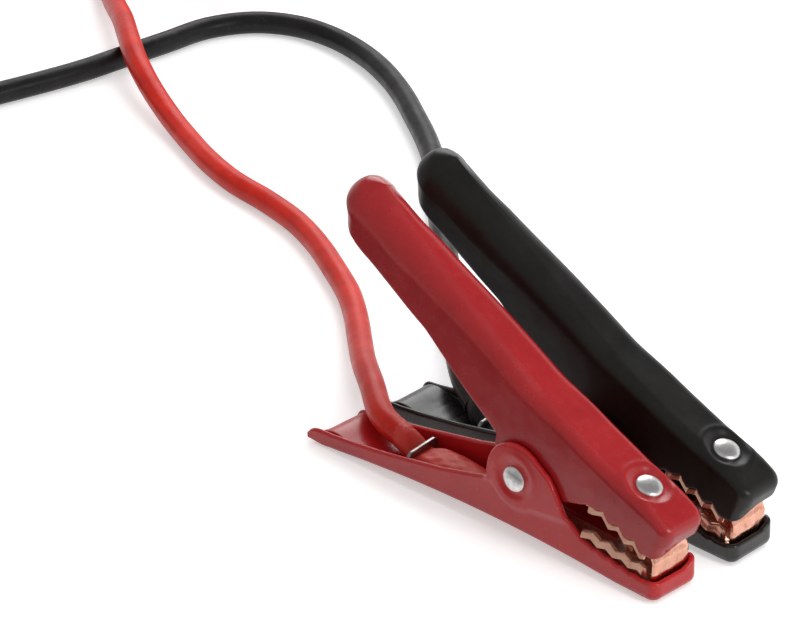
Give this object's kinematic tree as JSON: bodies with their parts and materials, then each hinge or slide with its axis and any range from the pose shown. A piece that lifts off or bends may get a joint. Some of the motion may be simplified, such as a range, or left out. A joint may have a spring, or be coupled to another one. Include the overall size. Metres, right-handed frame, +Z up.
{
  "type": "battery clamp lead set",
  "caption": "Pair of red and black spring clamps with toothed copper jaws on heavy leads, each ending in a crimped ring terminal, for connecting a car battery to a charger.",
  "frame": {"origin": "middle of the two clamps' footprint, on the surface they stand on", "axes": "+X along the clamps towards the jaw tips, +Y from the red clamp to the black clamp, +Z up"},
  "size_m": [0.6037, 0.3989, 0.1088],
  "materials": {
    "red_vinyl": "satin",
    "black_vinyl": "satin",
    "steel": "zinc plated",
    "rivet": "bright nickel",
    "copper": "copper plated, bright",
    "red_lead": "soft satin",
    "black_lead": "soft satin",
    "tie": "matt"
  },
  "bodies": {
    "lower_arms_and_leads": {"red_lower_arm_steel": "steel", "red_lower_arm_coat": "red_vinyl", "red_pivot_rivet": "rivet", "red_torsion_spring": "steel", "red_lower_jaw_liner": "copper", "red_lower_jaw_rivet": "rivet", "red_cable_clip": "steel", "red_insulated_end": "red_lead", "red_bare_strands": "copper", "red_crimp_lug": "copper", "red_lead": "red_lead", "red_lead_coil": "red_lead", "red_coil_tie": "tie", "red_terminal_sleeve": "red_lead", "red_ring_terminal": "copper", "black_lower_arm_steel": "steel", "black_lower_arm_coat": "black_vinyl", "black_pivot_rivet": "rivet", "black_torsion_spring": "steel", "black_lower_jaw_liner": "copper", "black_lower_jaw_rivet": "rivet", "black_cable_clip": "steel", "black_insulated_end": "black_lead", "black_bare_strands": "copper", "black_crimp_lug": "copper", "black_lead": "black_lead", "black_lead_coil": "black_lead", "black_coil_tie": "tie", "black_terminal_sleeve": "black_lead", "black_ring_terminal": "copper"},
    "red_upper_arm": {"red_upper_arm_steel": "steel", "red_upper_arm_coat": "red_vinyl", "red_upper_jaw_liner": "copper", "red_upper_jaw_rivet": "rivet"},
    "black_upper_arm": {"black_upper_arm_steel": "steel", "black_upper_arm_coat": "black_vinyl", "black_upper_jaw_liner": "copper", "black_upper_jaw_rivet": "rivet"}
  },
  "joints": [
    {"name": "red_clamp_opening", "type": "hinge", "parent": "lower_arms_and_leads", "child": "red_upper_arm", "pos_m": [0.0168, -0.0174, 0.0246], "axis": [0, -1, 0], "range_deg": [0, 35], "stiffness_Nm_per_rad": 1.2, "springref_deg": -28.65, "deforming": ["red_torsion_spring"]},
    {"name": "black_clamp_opening", "type": "hinge", "parent": "lower_arms_and_leads", "child": "black_upper_arm", "pos_m": [0.0193, 0.01736, 0.0246], "axis": [0.0349, -0.9994, 0], "range_deg": [0, 35], "stiffness_Nm_per_rad": 1.2, "springref_deg": -28.65, "deforming": ["black_torsion_spring"]}
  ]
}
